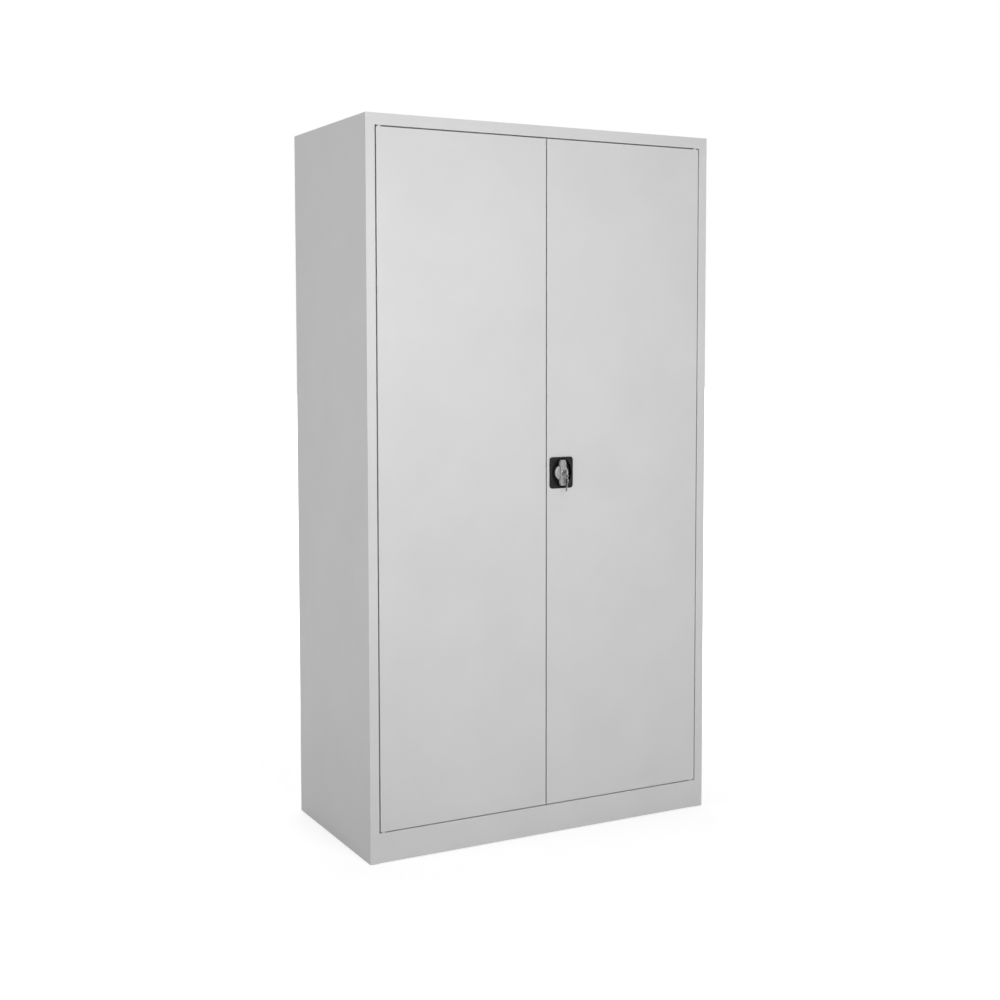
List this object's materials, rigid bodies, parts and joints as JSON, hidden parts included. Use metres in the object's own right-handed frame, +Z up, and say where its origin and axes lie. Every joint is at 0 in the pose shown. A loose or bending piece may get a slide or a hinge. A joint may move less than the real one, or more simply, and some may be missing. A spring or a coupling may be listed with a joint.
{
  "type": "metal storage cabinet",
  "caption": "Tall sheet-steel storage cabinet with hinged doors, loose shelves and a swivel handle that throws locking rods behind the frame.",
  "frame": {"origin": "centre of the overall box, keys included, on the ground that the cabinet stands on", "axes": "+Z up, front with the doors towards -Y, +X to the right of a person facing the doors"},
  "size_m": [1, 0.5384, 1.85],
  "materials": {
    "powder_coat": "light grey powder coat, satin with a fine texture",
    "shelf_coat": "light grey powder coat on inside fittings",
    "zinc_plate": "bright zinc plate",
    "black_moulding": "black moulded plastic, satin",
    "handle_moulding": "grey moulded plastic, satin",
    "nickel_plate": "nickel plate",
    "white_nylon": "natural nylon",
    "black_rubber": "matt rubber"
  },
  "bodies": {
    "carcass": {"side_panel_left": "powder_coat", "side_panel_right": "powder_coat", "top_panel": "powder_coat", "head_rail": "powder_coat", "plinth_front": "powder_coat", "floor_panel": "powder_coat", "back_panel": "powder_coat", "upright_front_left": "shelf_coat", "upright_front_right": "shelf_coat", "upright_rear_left": "shelf_coat", "upright_rear_right": "shelf_coat", "shelf_clip_1_front_left": "zinc_plate", "shelf_clip_1_front_right": "zinc_plate", "shelf_clip_1_rear_left": "zinc_plate", "shelf_clip_1_rear_right": "zinc_plate", "shelf_clip_2_front_left": "zinc_plate", "shelf_clip_2_front_right": "zinc_plate", "shelf_clip_2_rear_left": "zinc_plate", "shelf_clip_2_rear_right": "zinc_plate", "shelf_clip_3_front_left": "zinc_plate", "shelf_clip_3_front_right": "zinc_plate", "shelf_clip_3_rear_left": "zinc_plate", "shelf_clip_3_rear_right": "zinc_plate", "shelf_clip_4_front_left": "zinc_plate", "shelf_clip_4_front_right": "zinc_plate", "shelf_clip_4_rear_left": "zinc_plate", "shelf_clip_4_rear_right": "zinc_plate", "hinge_pin_upper_left": "zinc_plate", "hinge_pin_upper_right": "zinc_plate", "hinge_pin_lower_left": "zinc_plate", "hinge_pin_lower_right": "zinc_plate"},
    "door_left": {"door_left": "powder_coat", "door_stiffener_left": "powder_coat", "door_buffer_left": "black_rubber", "hinge_bush_upper_left": "white_nylon", "hinge_bush_lower_left": "white_nylon", "bolt_keeper": "zinc_plate"},
    "door_right": {"door_right": "powder_coat", "door_stiffener_right": "powder_coat", "door_buffer_right": "black_rubber", "hinge_bush_upper_right": "white_nylon", "hinge_bush_lower_right": "white_nylon", "lock_plate": "black_moulding", "lock_case": "zinc_plate", "rod_guide_upper": "black_moulding", "rod_guide_lower": "black_moulding"},
    "handle": {"handle_knob": "handle_moulding", "drive_pinion": "zinc_plate"},
    "lock_plug": {"lock_plug": "nickel_plate"},
    "key": {"key": "nickel_plate"},
    "key_ring": {"key_ring": "zinc_plate"},
    "spare_key": {"spare_key": "nickel_plate"},
    "rod_upper": {"rod_upper": "zinc_plate"},
    "rod_lower": {"rod_lower": "zinc_plate"},
    "side_bolt": {"side_bolt": "zinc_plate"},
    "shelf_1": {"shelf_1": "shelf_coat"},
    "shelf_2": {"shelf_2": "shelf_coat"},
    "shelf_3": {"shelf_3": "shelf_coat"},
    "shelf_4": {"shelf_4": "shelf_coat"}
  },
  "joints": [
    {"name": "door_left_hinge", "type": "hinge", "parent": "carcass", "child": "door_left", "pos_m": [-0.4632, -0.2253, 0.0788], "axis": [0, 0, -1], "range_deg": [0, 110]},
    {"name": "door_right_hinge", "type": "hinge", "parent": "carcass", "child": "door_right", "pos_m": [0.4632, -0.2253, 0.0788], "axis": [0, 0, 1], "range_deg": [0, 110]},
    {"name": "handle_turn", "type": "hinge", "parent": "door_right", "child": "handle", "pos_m": [0.0432, -0.2308, 0.957], "axis": [0, 1, 0], "range_deg": [0, 90]},
    {"name": "rod_upper_slide", "type": "slide", "parent": "door_right", "child": "rod_upper", "axis": [0, 0, 1], "range_m": [0, 0.01884]},
    {"name": "rod_lower_slide", "type": "slide", "parent": "door_right", "child": "rod_lower", "axis": [0, 0, -1], "range_m": [0, 0.01884]},
    {"name": "side_bolt_slide", "type": "slide", "parent": "door_right", "child": "side_bolt", "axis": [-1, 0, 0], "range_m": [0, 0.01884]},
    {"name": "plug_turn", "type": "hinge", "parent": "handle", "child": "lock_plug", "pos_m": [0.0432, -0.2443, 0.957], "axis": [0, 1, 0], "range_deg": [0, 90]},
    {"name": "key_draw", "type": "slide", "parent": "lock_plug", "child": "key", "axis": [0, -1, 0], "range_m": [0, 0.025]},
    {"name": "ring_swing", "type": "hinge", "parent": "key", "child": "key_ring", "pos_m": [0.0432, -0.2602, 0.9557], "axis": [-1, 0, 0], "range_deg": [-4, 60]},
    {"name": "spare_key_swing", "type": "hinge", "parent": "key_ring", "child": "spare_key", "pos_m": [0.0432, -0.2602, 0.9453], "axis": [-1, 0, 0], "range_deg": [-6, 45]},
    {"name": "shelf_1_lift", "type": "slide", "parent": "carcass", "child": "shelf_1", "axis": [0, 0, 1], "range_m": [0, 0.03]},
    {"name": "shelf_2_lift", "type": "slide", "parent": "carcass", "child": "shelf_2", "axis": [0, 0, 1], "range_m": [0, 0.03]},
    {"name": "shelf_3_lift", "type": "slide", "parent": "carcass", "child": "shelf_3", "axis": [0, 0, 1], "range_m": [0, 0.03]},
    {"name": "shelf_4_lift", "type": "slide", "parent": "carcass", "child": "shelf_4", "axis": [0, 0, 1], "range_m": [0, 0.03]}
  ],
  "couplings": [
    {"joint": "handle_turn", "follows": "rod_lower_slide", "rad_per_m": 83.333},
    {"joint": "rod_upper_slide", "follows": "rod_lower_slide", "ratio": 1},
    {"joint": "side_bolt_slide", "follows": "rod_lower_slide", "ratio": 1}
  ]
}
